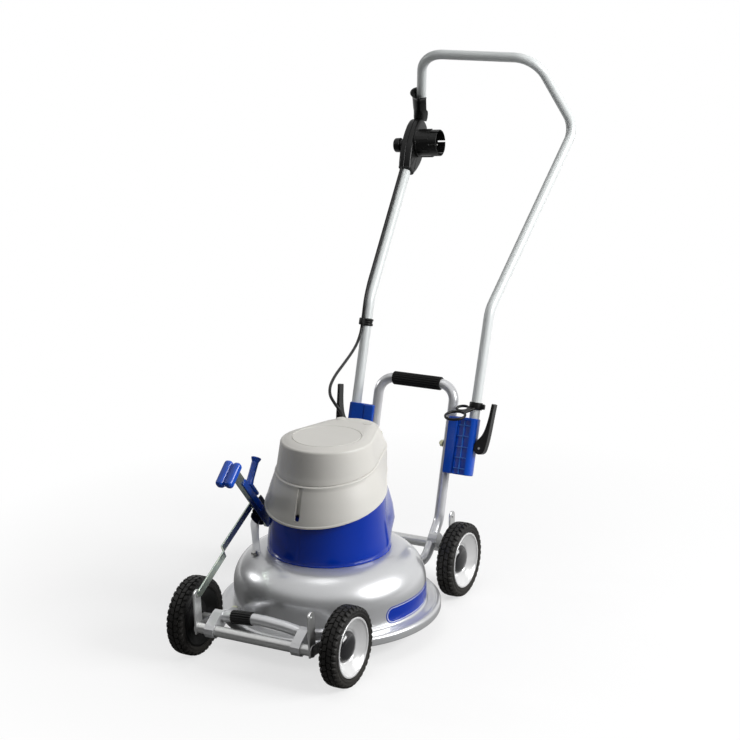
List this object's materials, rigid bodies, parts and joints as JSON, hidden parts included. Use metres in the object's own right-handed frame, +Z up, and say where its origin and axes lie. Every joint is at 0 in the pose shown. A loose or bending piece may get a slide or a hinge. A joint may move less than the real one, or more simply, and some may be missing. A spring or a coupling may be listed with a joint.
{
  "type": "electric lawn mower",
  "caption": "Walk-behind electric rotary mower with a round steel deck, hooded motor, folding tube handle, switch box, cord hook and a lever that sets all wheels' height.",
  "frame": {"origin": "on the ground, in the middle of the mower's width and length", "axes": "+X to the operator's left, +Y from the front of the mower to the operator, +Z up"},
  "size_m": [0.458, 1.1628, 1.107],
  "materials": {
    "silver_paint": "glossy metallic silver paint on steel",
    "zinc": "pale zinc plate, satin",
    "steel": "plain and zinc plated steel, satin",
    "blue_plastic": "deep royal blue moulded plastic, glossy",
    "grey_plastic": "light warm grey moulded plastic, fine grain, matt",
    "black_plastic": "black moulded plastic, fine grain",
    "foam": "black ribbed foam rubber",
    "cable_rubber": "black flexible cable sheath",
    "tyre_rubber": "black rubber with a block tread, matt",
    "white_plastic": "off-white moulded wheel disc, satin",
    "copper": "copper windings round a steel core"
  },
  "bodies": {
    "chassis": {"deck": "silver_paint", "base_cover": "blue_plastic", "middle_cover": "grey_plastic", "top_cap": "grey_plastic", "cable_gland": "black_plastic", "motor_flange": "steel", "motor_bell": "steel", "stator": "copper", "lower_bearing": "steel", "upper_bearing": "steel", "carry_frame": "silver_paint", "carry_grip": "foam", "front_loop": "silver_paint", "front_loop_sleeve": "foam", "front_bearing_left": "black_plastic", "front_bearing_right": "black_plastic", "rear_bearing_left": "black_plastic", "rear_bearing_right": "black_plastic", "frame_bracket_left": "blue_plastic", "frame_bracket_right": "blue_plastic", "clamp_bolt_left": "steel", "clamp_bolt_right": "steel", "lever_quadrant": "black_plastic", "lever_bracket": "grey_plastic"},
    "rotor": {"rotor_shaft": "steel", "blade": "steel", "blade_nut": "steel", "cooling_fan": "black_plastic"},
    "front_axle": {"front_axle": "zinc"},
    "rear_axle": {"rear_axle": "zinc"},
    "height_lever": {"height_lever": "zinc", "lever_knob": "blue_plastic"},
    "latch_grip": {"latch_grip": "blue_plastic"},
    "front_link": {"front_link": "steel"},
    "rear_link": {"rear_link": "steel"},
    "clamp_lever_left": {"clamp_lever_left": "black_plastic"},
    "clamp_lever_right": {"clamp_lever_right": "black_plastic"},
    "handle": {"handlebar": "zinc", "handle_socket_left": "blue_plastic", "handle_socket_right": "blue_plastic", "switch_case_outer": "black_plastic", "switch_case_inner": "black_plastic", "plug_inlet": "black_plastic", "cable_clip": "black_plastic", "motor_cable": "cable_rubber"},
    "safety_button": {"safety_button": "black_plastic"},
    "start_paddle": {"start_paddle": "black_plastic"},
    "cord_hook": {"cord_hook": "black_plastic"},
    "front_left_wheel": {"front_left_tyre": "tyre_rubber", "front_left_rim": "white_plastic", "front_left_hub_cap": "black_plastic"},
    "front_right_wheel": {"front_right_tyre": "tyre_rubber", "front_right_rim": "white_plastic", "front_right_hub_cap": "black_plastic"},
    "rear_left_wheel": {"rear_left_tyre": "tyre_rubber", "rear_left_rim": "white_plastic", "rear_left_hub_cap": "black_plastic"},
    "rear_right_wheel": {"rear_right_tyre": "tyre_rubber", "rear_right_rim": "white_plastic", "rear_right_hub_cap": "black_plastic"}
  },
  "joints": [
    {"name": "rotor_turn", "type": "hinge", "parent": "chassis", "child": "rotor", "pos_m": [0, -0.25481, 0.062], "axis": [0, 0, 1], "continuous": true},
    {"name": "handle_fold", "type": "hinge", "parent": "chassis", "child": "handle", "pos_m": [0, 0.11875, 0.2945], "axis": [1, 0, 0], "range_deg": [0, 105], "deforming": ["motor_cable"]},
    {"name": "height_lever_turn", "type": "hinge", "parent": "chassis", "child": "height_lever", "pos_m": [-0.1332, -0.27481, 0.21], "axis": [1, 0, 0], "range_deg": [-15, 15]},
    {"name": "front_axle_turn", "type": "hinge", "parent": "chassis", "child": "front_axle", "pos_m": [0, -0.55491, 0.083], "axis": [1, 0, 0], "range_deg": [-18.5, 18.5]},
    {"name": "rear_axle_turn", "type": "hinge", "parent": "chassis", "child": "rear_axle", "pos_m": [0, 0.05749, 0.083], "axis": [1, 0, 0], "range_deg": [-18.5, 18.5]},
    {"name": "front_link_turn", "type": "hinge", "parent": "height_lever", "child": "front_link", "pos_m": [-0.1292, -0.32394, 0.26732], "axis": [1, 0, 0], "range_deg": [-18.5, 18.5]},
    {"name": "rear_link_turn", "type": "hinge", "parent": "height_lever", "child": "rear_link", "pos_m": [-0.1372, -0.23491, 0.258], "axis": [1, 0, 0], "range_deg": [-15.5, 15.5]},
    {"name": "latch_grip_pull", "type": "slide", "parent": "height_lever", "child": "latch_grip", "axis": [0, -0.6508, 0.7593], "range_m": [0, 0.012], "stiffness_N_per_m": 800},
    {"name": "clamp_lever_left_open", "type": "hinge", "parent": "chassis", "child": "clamp_lever_left", "pos_m": [0.1695, 0.11875, 0.2945], "axis": [0, 0.9567, -0.2912], "range_deg": [0, 120]},
    {"name": "clamp_lever_right_open", "type": "hinge", "parent": "chassis", "child": "clamp_lever_right", "pos_m": [-0.1695, 0.11875, 0.2945], "axis": [0, -0.9567, 0.2912], "range_deg": [0, 120]},
    {"name": "safety_button_press", "type": "slide", "parent": "handle", "child": "safety_button", "axis": [0.9955, 0.0678, 0.0667], "range_m": [0, 0.005], "stiffness_N_per_m": 600},
    {"name": "start_paddle_squeeze", "type": "hinge", "parent": "handle", "child": "start_paddle", "pos_m": [-0.19141, 0.5588, 0.92875], "axis": [-0.9979, 0.0186, 0.062], "range_deg": [0, 4], "stiffness_Nm_per_rad": 2},
    {"name": "cord_hook_slide", "type": "slide", "parent": "handle", "child": "cord_hook", "axis": [0.0083, 0.319, 0.9477], "range_m": [-0.012, 0.15]},
    {"name": "front_left_wheel_turn", "type": "hinge", "parent": "front_axle", "child": "front_left_wheel", "pos_m": [0.1717, -0.50141, 0.08], "axis": [1, 0, 0], "continuous": true},
    {"name": "front_right_wheel_turn", "type": "hinge", "parent": "front_axle", "child": "front_right_wheel", "pos_m": [-0.1717, -0.50141, 0.08], "axis": [1, 0, 0], "continuous": true},
    {"name": "rear_left_wheel_turn", "type": "hinge", "parent": "rear_axle", "child": "rear_left_wheel", "pos_m": [0.1717, 0.00399, 0.08], "axis": [1, 0, 0], "continuous": true},
    {"name": "rear_right_wheel_turn", "type": "hinge", "parent": "rear_axle", "child": "rear_right_wheel", "pos_m": [-0.1717, 0.00399, 0.08], "axis": [1, 0, 0], "continuous": true}
  ],
  "couplings": [
    {"joint": "front_axle_turn", "follows": "height_lever_turn", "ratio": 1.2},
    {"joint": "rear_axle_turn", "follows": "height_lever_turn", "ratio": -1.2},
    {"joint": "front_link_turn", "follows": "height_lever_turn", "ratio": -1.2},
    {"joint": "rear_link_turn", "follows": "height_lever_turn", "ratio": -1}
  ]
}
